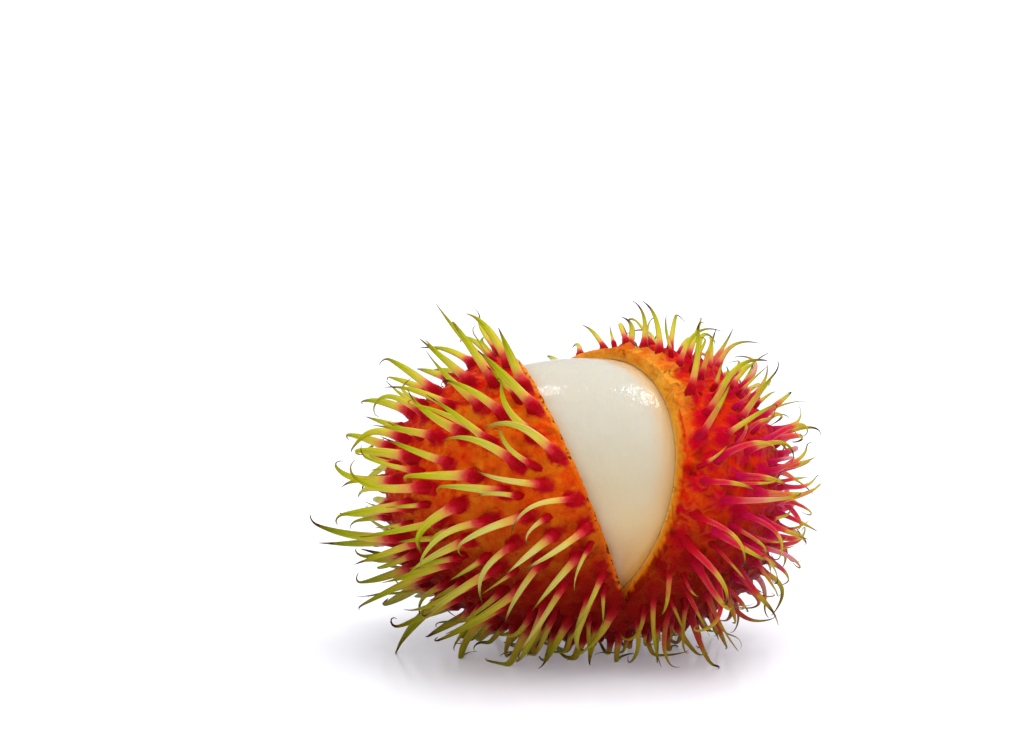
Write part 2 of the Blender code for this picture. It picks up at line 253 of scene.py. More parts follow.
def leanOf(normal):
    front = (1 - normal[1]) / 2
    lean = growth["backLean"] + (growth["frontLean"] - growth["backLean"]) * front
    lean = lean + growth["rightLean"] * max(0.0, normal[0])
    lean += growth["lowerLeftLean"] * lowerLeft(normal)
    under = max(0.0, -normal[2] - growth["underStart"]) / (1 - growth["underStart"])
    return lean + (growth["underLean"] - lean) * min(1.0, 1.6 * under)


def spineTries(root, normal, rng):
    tries, steps = growth["tries"], growth["steps"]
    sweep = sweepOf(root, normal)
    side = np.cross(normal, sweep)
    wild = np.linspace(*growth["wildness"], tries)
    spread, rightMore = growth["turnSpread"]
    turn = np.radians(rng.normal(0.0, spread + rightMore * rightShare(root), tries) * wild)
    lean = leanOf(normal) + rng.normal(0.0, growth["leanSpread"], tries) * wild
    lean = np.radians(np.clip(lean, *growth["leanLimits"]))
    left, right = np.array(growth["leftLength"]), np.array(growth["rightLength"])
    lengths = left + (right - left) * rightShare(root)
    endShort = growth["leftEndShort"] * max(0.0, -normal[0]) ** 4
    lengths += growth["lowerLeftExtra"] * lowerLeft(normal) - endShort
    if normal[2] < growth["underShort"]:
        lengths = growth["undersideLength"]
    length = rng.uniform(*lengths, tries) * np.linspace(1.0, growth["lastLength"], tries)
    heading = np.cos(turn)[:, None] * sweep + np.sin(turn)[:, None] * side
    heading = np.cos(lean)[:, None] * normal + np.sin(lean)[:, None] * heading
    drift = 0.35 * sweep - 0.35 * normal
    curl = unit(rng.normal(0.0, 0.8, (tries, 3)) + drift + np.array([0.0, 0.0, -0.3]))
    leftRarity, rightRarity = growth["hookRarity"]
    rarity = leftRarity + (rightRarity - leftRarity) * rightShare(root)
    hook = growth["mostHook"] * rng.random(tries) ** rarity
    step = length / steps
    place = np.repeat((root + normal * roots["wartHeight"])[None], tries, axis=0)
    path = [place]
    for index in range(steps):
        share = index / steps
        bend = (growth["curlStart"] + hook * 6.0 * share**2) * step
        sideways = curl - heading * np.sum(curl * heading, axis=-1)[:, None]
        heading = unit(heading + bend[:, None] * sideways)
        lift = np.clip((growth["standOff"] - heightOverBody(place)) / 1.5, 0.0, 1.0) * min(1.0, share * 8)
        heading = unit(heading + lift[:, None] * bodyNormal(place) * 0.5)
        overFloor = place[:, 2] - floorLevel - growth["floorPress"]
        heading[:, 2] = np.maximum(heading[:, 2], -np.maximum(overFloor, 0.0) / growth["floorBend"])
        heading = unit(heading)
        place = place + heading * step[:, None]
        path.append(place)
    return np.stack(path, axis=1), curl


def chords(path):
    stations = path[:, [round(growth["steps"] * share) for share in growth["solidStations"]]]
    share = np.linspace(0.0, 1.0, growth["chordPoints"], endpoint=False)[None, None, :, None]
    runs = stations[:, :-1, None] * (1 - share) + stations[:, 1:, None] * share
    radii = np.array(growth["solidRadii"])
    share = share[0, :, :, 0]
    thick = radii[:-1, None] * (1 - share) + radii[1:, None] * share
    return runs.reshape(len(path), -1, 3), thick.ravel()


def growSpines(places, rng):  # each takes the first of its tries that stands clear of the others
    normals = bodyNormal(places)
    grown, placed, sizes = {}, np.zeros((0, 3)), np.zeros(0)
    for index, (root, normal) in enumerate(zip(places, normals)):
        if gapDepth(root) > 0:
            continue
        paths, curls = spineTries(root, normal, rng)
        points, thick = chords(paths)
        others = np.delete(places, index, axis=0)
        others = others[sizeOf(others - root) < growth["reach"]]
        tops = others + bodyNormal(others) * roots["wartHeight"] * 0.5
        near = sizeOf(placed - root) < growth["reach"]
        blocks = np.concatenate([placed[near], tops])
        blockSizes = np.concatenate([sizes[near], np.full(len(tops), growth["wartBlock"])])
        gaps = sizeOf(points[:, :, None] - blocks[None, None])
        gaps = (gaps - thick[None, :, None] - blockSizes[None, None]).min(axis=(1, 2))
        offBody = (heightOverBody(points) - thick)[:, growth["chordPoints"]:].min(axis=1)
        room = np.minimum(gaps, offBody)
        clear = np.flatnonzero(room > growth["clearance"])
        pick = clear[0] if len(clear) else int(np.argmax(room))
        grown[index] = (paths[pick], curls[pick])
        placed = np.concatenate([placed, points[pick]])
        sizes = np.concatenate([sizes, thick])
    return grown


# Fine spines: short thin ones between the others, most of them low on the left and on the right half.
fineGrowth = {
    "seed": 31,
    "most": 210,
    "candidates": 6000,
    "apart": 1.75,  # from the other roots, and from each other
    "ownApart": 2.1,
    "lipMargin": 1.2,
    "scales": (0.5, 0.85),
    "clearance": 0.75,
    "clearFrom": 6,  # the step from which it has to stand clear
    "reach": 10.0,
}


def fineChance(root, normal):
    right = smoothStep(1.0, 9.0, root[0])
    return float(np.clip(0.12 + 0.9 * right + 1.3 * lowerLeft(normal), 0.0, 1.0))


def growFine(places, grown):
    rng = np.random.default_rng(fineGrowth["seed"])
    taken = places[sorted(grown)]
    bodies = np.concatenate([path[::2] for path, _ in grown.values()])
    shoots = []
    own = np.zeros((0, 3))
    for root in onBody(unit(rng.normal(0.0, 1.0, (fineGrowth["candidates"], 3))) * bodySize):
        normal = bodyNormal(root)
        if len(shoots) >= fineGrowth["most"]:
            break
        if rng.random() > fineChance(root, normal) or gapDepth(root) > -fineGrowth["lipMargin"]:
            continue
        if sizeOf(taken - root).min() < fineGrowth["apart"]:
            continue
        if len(own) and sizeOf(own - root).min() < fineGrowth["ownApart"]:
            continue
        paths, curls = spineTries(root, normal, rng)
        paths = root + (paths - root) * rng.uniform(*fineGrowth["scales"])
        near = bodies[sizeOf(bodies - root) < fineGrowth["reach"]]
        room = sizeOf(paths[:, fineGrowth["clearFrom"]::2, None] - near[None, None]).min(axis=(1, 2))
        clear = np.flatnonzero(room > fineGrowth["clearance"])
        pick = clear[0] if len(clear) else int(np.argmax(room))
        shoots.append((root, paths[pick], curls[pick]))
        own = np.concatenate([own, root[None]])
        bodies = np.concatenate([bodies, paths[pick][::2]])
    return shoots


# Shader helpers. A source is a node, a socket, a plain value, or the name of numbers painted on the points.
canvas = {"tree": None}  # the material or group that is being built


def newMaterial(name):
    material = bpy.data.materials.new(name)
    material.use_nodes = True
    canvas["tree"] = material.node_tree
    return material, material.node_tree.nodes["Principled BSDF"]


def feed(inputs, sources):
    tree = canvas["tree"]
    for name, source in sources.items():
        if isinstance(source, str):
            painted = tree.nodes.get(source) or addNode("Attribute", name=source, attribute_name=source)
            source = painted.outputs["Fac"]
        if isinstance(source, bpy.types.Node):
            source = source.outputs[0]
        if isinstance(source, bpy.types.NodeSocket):
            tree.links.new(source, inputs[name])
        else:
            inputs[name].default_value = (*source, 1.0) if inputs[name].type == "RGBA" else source


def addNode(kind, sources=None, **settings):
    node = canvas["tree"].nodes.new("ShaderNode" + kind)
    for name, value in settings.items():
        setattr(node, name, value)
    feed(node.inputs, sources or {})
    return node


def reckon(operation, *values, clamp=False):
    return addNode("Math", dict(enumerate(values)), operation=operation, use_clamp=clamp)


def scaleAdd(value, scale, more, clamp=False):
    return reckon("MULTIPLY_ADD", value, scale, more, clamp=clamp)


def times(product, *values):
    for value in values:
        product = reckon("MULTIPLY", product, value)
    return product


def layColours(ground, *layers):  # each is a share, a colour, and how they blend if not plainly
    for share, colour, *mode in layers:
        mix = addNode("Mix", data_type="RGBA", blend_type=mode[0] if mode else "MIX")
        feed(mix.inputs, {0: share, 6: ground, 7: colour})
        ground = mix.outputs[2]
    return ground


def stretchRange(value, low, high):  # 0 up to low, 1 from high, smooth between
    sources = {"Value": value, "From Min": low, "From Max": high}
    return addNode("MapRange", sources, interpolation_type="SMOOTHSTEP")


def colourRamp(value, stops):
    node = addNode("ValToRGB", {0: value})
    elements = node.color_ramp.elements
    while len(elements) < len(stops):
        elements.new(0.5)
    for element, (place, colour) in zip(elements, stops):
        element.position = place
        element.color = (*colour, 1.0)
    return node


def dressSurface(surface, colour, roughness, looks):
    weight, radius, scale = looks["innerLight"]
    sources = {
        "Base Color": colour,
        "Roughness": roughness,
        "Specular IOR Level": looks["specular"],
        "Subsurface Weight": weight,
        "Subsurface Radius": radius,
        "Subsurface Scale": scale,
    }
    feed(surface.inputs, sources)


def addRelief(surface, height, strength, distance):
    bump = addNode("Bump", {"Height": height, "Strength": strength, "Distance": distance})
    feed(surface.inputs, {"Normal": bump})


def layOut(tree):  # sets each node to the left of those that it feeds
    columns = {node.name: 0 for node in tree.nodes}
    for _ in tree.nodes:
        for link in tree.links:
            left, right = link.from_node.name, link.to_node.name
            columns[left] = max(columns[left], columns[right] + 1)
    rows = dict.fromkeys(columns.values(), 0)
    for node in tree.nodes:
        column = columns[node.name]
        node.location = (-240 * column, -300 * rows[column])
        rows[column] += 1


# Effects that the materials share.
def newGroup(name, scales, outputs):
    group = bpy.data.node_groups.new(name, "ShaderNodeTree")
    group.interface.new_socket("Vector", in_out="INPUT", socket_type="NodeSocketVector")
    for label, value in scales.items():
        socket = group.interface.new_socket(label, in_out="INPUT", socket_type="NodeSocketFloat")
        socket.default_value = value
    for label in outputs:
        group.interface.new_socket(label, in_out="OUTPUT", socket_type="NodeSocketFloat")
    canvas["tree"] = group
    return group, group.nodes.new("NodeGroupInput").outputs, group.nodes.new("NodeGroupOutput").inputs


def makeWaxMottle():  # broad soft patches, and fine pores for relief
    scales = {"Patch Scale": 300.0, "Pore Scale": 1500.0}
    group, given, out = newGroup("waxMottle", scales, ("Patches", "Relief"))
    sources = {"Vector": given["Vector"], "Scale": given["Patch Scale"], "Detail": 4.0, "Roughness": 0.6}
    patches = addNode("TexNoise", sources)
    sources = {"Vector": given["Vector"], "Scale": given["Pore Scale"], "Detail": 3.0}
    pores = addNode("TexNoise", sources)
    relief = scaleAdd(patches, 0.6, times(pores, 0.4))
    feed(out, {"Patches": stretchRange(patches, 0.34, 0.66), "Relief": relief})
    return group


def makeBrownFleck():  # scattered small dark marks
    group, given, out = newGroup("brownFleck", {"Scale": 400.0, "Amount": 0.3}, ("Mask",))
    marks = addNode("TexNoise", {"Vector": given["Vector"], "Scale": given["Scale"], "Detail": 2.0})
    edge = reckon("SUBTRACT", 0.78, times(given["Amount"], 0.3))
    over = reckon("SUBTRACT", marks, edge)
    feed(out, {"Mask": reckon("MULTIPLY", over, 14.0, clamp=True)})
    return group


waxMottle = makeWaxMottle()
brownFleck = makeBrownFleck()


def placeMottle(place, patchScale, poreScale):
    sources = {"Vector": place, "Patch Scale": patchScale, "Pore Scale": poreScale}
    return addNode("Group", sources, node_tree=waxMottle).outputs


def placeFlecks(place, scale, amount):
    sources = {"Vector": place, "Scale": scale, "Amount": amount}
    return addNode("Group", sources, node_tree=brownFleck)


# Rind skin: a fine shell with a cone at each root, flat cut lips, and a smooth inside.
skin = {
    "subdivisions": 7,
    "coneReach": 1.9,
    "coneHeight": 1.25,
    "coneSharpness": 1.3,
    "coneLean": 0.8,
    "coneBack": 0.75,
    "coneForward": 1.5,  # cones are this much longer the way that spines are combed
    "ridgeHeight": 0.3,
    "ridgeWidth": 0.75,
    "waves": ((0.2, 3.2), (0.19, 1.3), (0.08, 0.65)),  # height and size of each
    "rightRelief": 0.5,
    "lipCalm": (0.1, 1.3),
    "lipRows": (0.07, 0.2, 0.4, 0.6, 0.8, 0.93, 1.0),
    "lipBulge": 0.18,
    "lipBumps": 0.16,
    "lipWobble": 0.12,
    "fleshGap": 0.01,
    "insideRows": 12,
    "insideEase": 1.3,
    "cutSlack": 0.01,
    "cutWeld": 0.03,
    "halvings": 30,
    "orangeHeart": np.array([-7.0, -16.0, 1.0]),
    "orangeReach": (6.0, 24.0),
    "undersideRedAndShade": 0.55,
    "rightBlush": 0.6,
    "magentaFrom": (12.0, 23.0),
    "specular": 0.02,
    "innerLight": (0.15, (1.0, 0.2, 0.03), 0.0009),  # weight, radius and scale
}

flesh = {
    "offset": np.array([0.2, -0.35, 0.65]),
    "halfLength": 20.6,
    "radius": 15.95,
    "bluntness": 2.15,
    "bands": 96,
    "segments": 128,
    "dimple": 0.07,
    "speckAt": (-0.4, 3.2),
    "speckSize": (0.15, 0.35),
    "specular": 0.6,
    "innerLight": (0.6, (1.0, 0.8, 0.5), 0.0025),
}


def fleshLevel(points, gap=0.0):
    local = points - flesh["offset"]
    along = np.abs(local[..., 0] / (flesh["halfLength"] + gap)) ** flesh["bluntness"]
    across = (np.hypot(local[..., 1], local[..., 2]) / (flesh["radius"] + gap)) ** flesh["bluntness"]
    return (along + across) ** (1 / flesh["bluntness"])


def openBall():  # the rind's outside as a fine mesh, with the gap cut out
    ball = bmesh.new()
    bmesh.ops.create_icosphere(ball, subdivisions=skin["subdivisions"], radius=1.0)
    points = onBody(np.array([vert.co for vert in ball.verts]) * bodySize)
    for vert, point in zip(ball.verts, points):
        vert.co = point
    for normal, offset in (fruit["leftCut"], fruit["rightCut"]):
        depths = gapDepth(np.array([vert.co for vert in ball.verts]))
        ball.verts.index_update()
        inGap = set(np.flatnonzero(depths > -skin["cutSlack"]).tolist())
        near = [face for face in ball.faces if any(vert.index in inGap for vert in face.verts)]
        parts = {part for face in near for part in (face, *face.edges, *face.verts)}
        plane = {"plane_co": unit(normal) * offset, "plane_no": unit(normal)}
        bmesh.ops.bisect_plane(ball, geom=list(parts), dist=skin["cutWeld"], **plane)
    centres = np.array([face.calc_center_median() for face in ball.faces])
    lost = [face for face, depth in zip(ball.faces, gapDepth(centres)) if depth > 0]
    bmesh.ops.delete(ball, geom=lost, context="FACES")
    ball.verts.index_update()
    return ball


def rimLoop(ball):  # the gap's edge as one ring of vertex indices
    edge = next(edge for edge in ball.edges if edge.is_boundary)
    ring = list(edge.verts)
    while True:
        edge = next(other for other in ring[-1].link_edges if other.is_boundary and other != edge)
        after = edge.other_vert(ring[-1])
        if after == ring[0]:
            return [vert.index for vert in ring]
        ring.append(after)


def inwardFromLip(points):  # along the flat cut, down to the inside
    direction = -bodyNormal(points)
    nearLeft = np.abs(beyondCut(points, fruit["leftCut"])) < np.abs(beyondCut(points, fruit["rightCut"]))
    leftNormal, rightNormal = unit(fruit["leftCut"][0]), unit(fruit["rightCut"][0])
    normal = np.where(nearLeft[:, None], leftNormal, rightNormal)
    return unit(direction - np.sum(direction * normal, axis=-1)[:, None] * normal), normal, nearLeft


def toInside(points, direction):
    near, far = np.zeros(len(points)), np.full(len(points), fruit["radius"])
    for _ in range(skin["halvings"]):
        middle = (near + far) / 2
        out = fleshLevel(points + direction * middle[:, None], skin["fleshGap"]) > 1
        near, far = np.where(out, middle, near), np.where(out, far, middle)
    return points + direction * near[:, None]


def makeSkin(places, grown):
    ball = openBall()
    ring = rimLoop(ball)
    points = np.array([vert.co for vert in ball.verts])
    faces = [[vert.index for vert in face.verts] for face in ball.faces]
    ball.free()

    normals = bodyNormal(points)
    kept = np.array(sorted(grown))
    rootNormals = bodyNormal(places[kept])
    sweeps = np.array([sweepOf(root, normal) for root, normal in zip(places[kept], rootNormals)])
    leans = np.array([math.sin(math.radians(leanOf(normal))) for normal in rootNormals])
    feet = places[kept] - sweeps * leans[:, None] * skin["coneBack"]
    tree = KDTree(len(feet))
    for index, foot in enumerate(feet):
        tree.insert(foot, index)
    tree.balance()
    found = [tree.find_n(point, 2) for point in points]
    owner = np.array([nearest[1] for nearest, _ in found])
    first = np.array([nearest[2] for nearest, _ in found])
    second = np.array([after[2] for _, after in found])

    calm = smoothStep(*skin["lipCalm"], -gapDepth(points))
    wobble = rumple(points, 0.9, 3)
    drift = rumple(points, 2.1, 4)
    reach = skin["coneReach"] * (1 + 0.18 * wobble)
    offset = points - feet[owner]
    forward = np.sum(offset * sweeps[owner], axis=-1)
    side = sizeOf(offset - forward[:, None] * sweeps[owner])
    forward = np.where(forward > 0, forward / skin["coneForward"], forward)
    comet = np.hypot(forward, side)
    cone = np.clip(1 - comet / reach, 0.0, 1.0) ** skin["coneSharpness"] * calm
    between = np.abs(second - first + 0.5 * drift + 0.3 * wobble)
    ridge = np.exp(-((between / skin["ridgeWidth"]) ** 2)) * calm * smoothStep(0.9, 2.2, first)
    lift = skin["coneHeight"] * cone
    sideways = sweeps[owner] * (lift * skin["coneLean"] * leans[owner])[:, None]
    wave = sum(height * rumple(points, size, 1) for height, size in skin["waves"]) * (0.3 + 0.7 * calm)
    wave = wave * (1 + skin["rightRelief"] * smoothStep(2.0, 10.0, points[:, 0]))
    outer = points + normals * (lift + wave + skin["ridgeHeight"] * ridge)[:, None] + sideways

    rim = points[ring]
    inward, cutNormal, nearLeft = inwardFromLip(rim)
    shift = skin["lipWobble"] * rumple(rim, 2.4, 5) + 0.4 * skin["lipWobble"] * rumple(rim, 0.7, 6)
    intoGap = cutNormal * np.where(nearLeft, 1.0, -1.0)[:, None]
    outer[ring] = rim + intoGap * shift[:, None]
    inside = toInside(rim, inward)
    rows = []
    for share in skin["lipRows"]:
        bulge = skin["lipBulge"] * math.sin(math.pi * share) + shift * (1 - share)
        row = rim * (1 - share) + inside * share
        bumps = skin["lipBumps"] * (1 - share) * (rumple(row, 0.9, 13) + 0.5 * rumple(row, 0.45, 14))
        rows.append(row + intoGap * (bulge + bumps)[:, None])
    fromMiddle = unit(inside - flesh["offset"])
    pole = -unit(fromMiddle.mean(axis=0))
    for row in range(1, skin["insideRows"]):
        share = (row / skin["insideRows"]) ** skin["insideEase"]
        angle = np.arccos(np.clip(fromMiddle @ pole, -1.0, 1.0))[:, None]
        turned = unit(np.sin((1 - share) * angle) * fromMiddle + np.sin(share * angle) * pole)
        level = fleshLevel(turned + flesh["offset"], skin["fleshGap"])
        rows.append(turned / level[:, None] + flesh["offset"])
    last = pole / fleshLevel(pole + flesh["offset"], skin["fleshGap"]) + flesh["offset"]

    verts = np.concatenate([outer, *rows, last[None]])
    count, base = len(ring), len(outer)
    starts = [base + row * count for row in range(len(rows))]
    rings = [ring] + [list(range(start, start + count)) for start in starts]
    for index in range(count):
        after = (index + 1) % count
        for low, high in zip(rings, rings[1:]):
            faces.append([low[index], low[after], high[after], high[index]])
        faces.append([rings[-1][index], rings[-1][after], len(verts) - 1])

    verts[:, 2] = np.maximum(verts[:, 2], floorLevel)
    piece = makeObject("rindSkin", verts, faces, skinMaterial())
    tidy = bmesh.new()
    tidy.from_mesh(piece.data)
    bmesh.ops.recalc_face_normals(tidy, faces=tidy.faces)
    tidy.to_mesh(piece.data)
    tidy.free()

    lipCount = len(skin["lipRows"])
    extra = len(verts) - base

    def spread(values, lipValue=None):  # the lip rows take the rim's own values, or the ones given
        tail = np.zeros(extra)
        tail[: lipCount * count] = np.tile(values[ring], lipCount) if lipValue is None else lipValue
        return np.concatenate([values, tail])

    depth = -gapDepth(points)
    alongX, down = points[:, 0], -points[:, 2]
    heart = sizeOf(points - skin["orangeHeart"])
    blush = 0.1 + 0.7 * smoothStep(*skin["orangeReach"], heart + 6.0 * rumple(points, 6.0, 8))
    # Towards the bottom the rind turns redder and darker: partly its own colour, partly painted shade.
    blush = blush + 0.22 * rumple(points, 2.6, 9) + skin["undersideRedAndShade"] * smoothStep(0.0, 13.0, down)
    blush = blush + skin["rightBlush"] * smoothStep(0.0, 14.0, alongX) * smoothStep(0.5, 3.0, depth)
    onRight = beyondCut(points, fruit["rightCut"]) > -2.0
    topRight = smoothStep(7.0, 16.0, -down)
    bandWidth = np.where(onRight, 0.3 + 2.4 * topRight, 0.45)
    lipBand = 1 - smoothStep(0.1, 1.0, depth / bandWidth + 0.5 * wobble + 0.4 * drift)
    lipBand = lipBand * np.where(onRight, topRight, 1.0)
    acrossLip = np.repeat(skin["lipRows"], count)
    lipRough = [0.3 * rumple(row, 1.1, 15) + 0.15 * rumple(row, 0.5, 16) for row in rows[:lipCount]]
    ringRight = np.tile(np.where(nearLeft, 0.0, 1.0), lipCount)
    ringHigh = np.tile(smoothStep(8.0, 16.0, rim[:, 2]), lipCount) * ringRight
    bandStart = 0.36 * ringRight - 0.6 * ringHigh
    lipOwn = smoothStep(bandStart - 0.12, bandStart + 0.22, acrossLip + np.concatenate(lipRough))
    # Painted shade: dark red patches in the hollows between the cones, stronger on the right half.
    hollow = smoothStep(0.05, 0.55, rumple(points, 1.7, 17) + 0.35 * rumple(points, 0.8, 18))
    hollow = hollow * (1 - cone) * (0.22 + 0.78 * smoothStep(-4.0, 8.0, alongX))
    rootReach = 1.5 + 0.3 * smoothStep(-6.0, 4.0, alongX)
    web = smoothStep(0.0, 8.0, alongX) * (1 - 0.7 * smoothStep(11.0, 18.0, alongX))
    edge = (1 - smoothStep(0.0, 0.5, depth)) * np.where(onRight, 0.15, 1.0)
    paintPoints(
        piece,
        rootRed=spread(1 - smoothStep(0.4, rootReach, comet + 0.3 * wobble)),
        ridge=spread(ridge * (1 - 0.5 * smoothStep(4.0, 14.0, alongX))),
        hollow=spread(hollow),
        blush=spread(np.clip(blush, 0.0, 1.0)),
        magenta=spread(smoothStep(*skin["magentaFrom"], alongX + 3.0 * drift)),
        web=spread(0.25 + 0.75 * web),
        hot=spread(smoothStep(-1.0, 7.0, alongX)),
        lipBand=spread(lipBand, lipOwn),
        # Painted light: the lip band turns lighter higher up, where light falls from above.
        lipHigh=smoothStep(4.0, 14.0, verts[:, 2]),
        lipAcross=spread(np.zeros(base), acrossLip),
        # Painted shade: the rind darkens where it faces down.
        under=spread(smoothStep(-0.42, 0.62, -normals[:, 2])),
        rim=spread(edge, 0.5 * (1 - acrossLip) * (1 - ringRight)),
    )
    return piece


def skinMaterial():
    colours = {
        "orange": (0.76, 0.082, 0.001),
        "gold": (0.78, 0.19, 0.005),
        "red": (0.68, 0.012, 0.001),
        "crimson": (0.46, 0.001, 0.008),
        "hotRed": (0.58, 0.001, 0.01),
        "magenta": (0.52, 0.001, 0.04),
        "net": (0.78, 0.095, 0.004),
        "undersideShade": (0.14, 0.003, 0.001),
        "hollow": (0.24, 0.001, 0.002),
        "holeShade": (0.04, 0.001, 0.001),
        "lipHigh": (0.88, 0.38, 0.035),
        "fleck": (0.035, 0.006, 0.002),
    }
    acrossStops = (
        (0.0, (0.7, 0.13, 0.003)),
        (0.3, (0.7, 0.17, 0.004)),
        (0.7, (0.74, 0.24, 0.012)),
        (1.0, (0.84, 0.46, 0.1)),
    )
    material, surface = newMaterial("rindSkin")
    place = addNode("TexCoord").outputs["Object"]
    broad = placeMottle(place, 240.0, 1300.0)
    fine = placeMottle(place, 800.0, 2600.0)
    flecks = placeFlecks(place, 1500.0, 0.75)
    dots = placeFlecks(place, 1100.0, 0.25)

    # A broken web of pale veins, and small holes painted near black as shade, on a bent ground.
    wander = addNode("TexNoise", {"Vector": place, "Scale": 330.0})
    broken = addNode("TexNoise", {"Vector": place, "Scale": 210.0})
    sources = {0: wander.outputs["Color"], 1: (0.0045, 0.0045, 0.0045), 2: place}
    bent = addNode("VectorMath", sources, operation="MULTIPLY_ADD")
    cells = addNode("TexVoronoi", {"Vector": bent, "Scale": 430.0}, feature="DISTANCE_TO_EDGE")
    veins = times(stretchRange(cells.outputs["Distance"], 0.24, 0.0), "web")
    veins = times(veins, stretchRange(broken, 0.42, 0.62))
    holes = addNode("TexVoronoi", {"Vector": bent, "Scale": 330.0})
    pick = addNode("SeparateColor", {0: holes.outputs["Color"]})
    holeShadeMask = stretchRange(holes.outputs["Distance"], 0.34, 0.12)
    holeShadeMask = times(holeShadeMask, stretchRange(pick, 0.62, 0.7), "web")

    # The ground colour, from below upward.
    blush = scaleAdd(broad["Patches"], -0.35, "blush")
    blush = scaleAdd(fine["Patches"], 0.45, blush)
    net = scaleAdd("ridge", 0.45, times(veins, 0.6), clamp=True)
    deep = layColours(colours["crimson"], ("hot", colours["hotRed"]), ("magenta", colours["magenta"]))
    rootRed = scaleAdd(fine["Patches"], 0.25, "rootRed")
    thin = colourRamp("lipAcross", acrossStops)
    # Painted light on the upper lip band.
    high = times("lipHigh", "lipBand", broad["Patches"])
    marks = reckon("MAXIMUM", times(flecks, "rim"), times(dots, 0.5))
    ground = layColours(
        colours["orange"],
        (broad["Patches"], colours["gold"]),
        (stretchRange(blush, 0.05, 0.8), colours["red"]),
        (stretchRange(rootRed, 0.1, 0.8), deep),
        (times("hollow", 0.75), colours["hollow"]),
        (net, colours["net"]),
        # Painted shade in the small holes.
        (times(holeShadeMask, 0.85), colours["holeShade"]),
        # Painted shade on the underside.
        (times("under", 0.88), colours["undersideShade"]),
        ("lipBand", thin),
        (high, colours["lipHigh"]),
        (marks, colours["fleck"]),
    )
    dressSurface(surface, ground, scaleAdd(fine["Patches"], 0.2, 0.3), skin)
    height = reckon("ADD", broad["Relief"], fine["Relief"])
    height = scaleAdd(veins, 0.7, height)
    addRelief(surface, scaleAdd(holeShadeMask, -1.2, height), 0.9, 0.00045)
    return material


# Spines: soft grooved ribbons with flared roots and dry, hooked tips.
spines = {
    "sides": 8,
    "stations": 36,
    "fineSides": 6,
    "fineStations": 26,
    "fineSlim": 0.66,
    "fineSeed": 22,
    "widthStops": (0.0, 0.05, 0.11, 0.2, 0.36, 0.55, 0.7, 0.82, 0.9, 1.0),
    "widths": (0.9, 0.74, 0.61, 0.54, 0.49, 0.41, 0.3, 0.19, 0.12, 0.045),
    "risenAt": 0.7,  # a spine shows from this height over the body
    "flatness": (0.5, 0.78),
    "sizeRange": (0.78, 1.16),
    "twist": 60.0,
    "rootBack": 0.9,
    "rootDepth": 1.1,
    "curlShare": 0.55,
    "curlLength": (1.0, 3.0),
    "curlRadius": (0.5, 1.6),
    "creamHeart": np.array([-1.0, -17.0, -1.0]),  # spines round here are thinner and paler
    "creamReach": 11.0,
    "overBox": 0.9,  # how far a dry tip may pass the solid model's box
    "tipOverFloor": 0.12,
    "palePinkGlintShare": 0.16,  # of the far right spines
    "topDryness": 0.45,
    "specular": 0.05,
    "innerLight": (0.4, (0.8, 0.55, 0.05), 0.0007),
    "seed": 21,
}


def resample(path, count):
    runs = sizeOf(np.diff(path, axis=0))
    along = np.concatenate([[0.0], np.cumsum(runs)])
    share = np.linspace(0.0, 1.0, count)
    places = [np.interp(share * along[-1], along, path[:, axis]) for axis in range(3)]
    return np.stack(places, axis=-1), share


def spineLine(root, normal, path, curl, rng):
    lean = math.sin(math.radians(leanOf(normal)))
    back = sweepOf(root, normal) * lean * spines["rootBack"]
    start = root - back - normal * spines["rootDepth"]
    line = np.concatenate([[start, root - 0.45 * back + normal * 0.2], path[1:]])
    if rng.random() < spines["curlShare"]:
        length = rng.uniform(*spines["curlLength"])
        radius = rng.uniform(*spines["curlRadius"])
        heading = unit(line[-1] - line[-2])
        toward = unit(curl + rng.normal(0.0, 0.5, 3))
        toward = unit(toward - (toward @ heading) * heading)
        axis = np.cross(heading, toward)
        steps = 12
        curled = [line[-1]]
        for index in range(steps):
            angle = length / steps / radius * (0.5 + 1.1 * index / steps)
            heading = unit(heading + angle * np.cross(axis, heading))
            curled.append(curled[-1] + heading * length / steps)
        lowest, highest = (np.array(corner) / mm - fruit["centre"] for corner in cadBox)
        over = np.maximum(curled - highest, lowest - curled).max(axis=0)[:2]
        if over.max() < spines["overBox"] and (curled[-1] - highest)[2] < spines["overBox"]:
            line = np.concatenate([line, curled[1:]])
    line[:, 2] = np.maximum(line[:, 2], floorLevel + spines["tipOverFloor"])
    for _ in range(3):
        line[1:-1] = 0.25 * line[:-2] + 0.5 * line[1:-1] + 0.25 * line[2:]
    return line


def spineTube(line, flatSide, width, flat, twist, sides, stations):
    centre, share = resample(line, stations)
    start = share[np.argmax(heightOverBody(centre) > spines["risenAt"])]
    share = np.clip((share - start) / (1 - start), 0.0, 1.0)
    heading = unit(np.gradient(centre, axis=0))
    radius = width * np.interp(share, spines["widthStops"], spines["widths"])
    turns = 2 * math.pi * np.arange(sides) / sides
    side = unit(np.cross(heading[0], flatSide))
    rings = []
    for index in range(stations):
        side = unit(side - (side @ heading[index]) * heading[index])
        over = np.cross(heading[index], side)
        angle = math.radians(twist) * share[index] ** 1.5
        across = math.cos(angle) * side + math.sin(angle) * over
        thick = -math.sin(angle) * side + math.cos(angle) * over
        round_ = flat + (1 - flat) * max(0.0, 1 - share[index] * 6)
        groove = 1 - 0.16 * np.exp(-((np.abs(turns - math.pi / 2) / 0.5) ** 2)) * min(1.0, share[index] * 5)
        out = np.outer(np.cos(turns), across) + round_ * np.outer(np.sin(turns) * groove, thick)
        rings.append(centre[index] + radius[index] * out)
    return np.array(rings), share


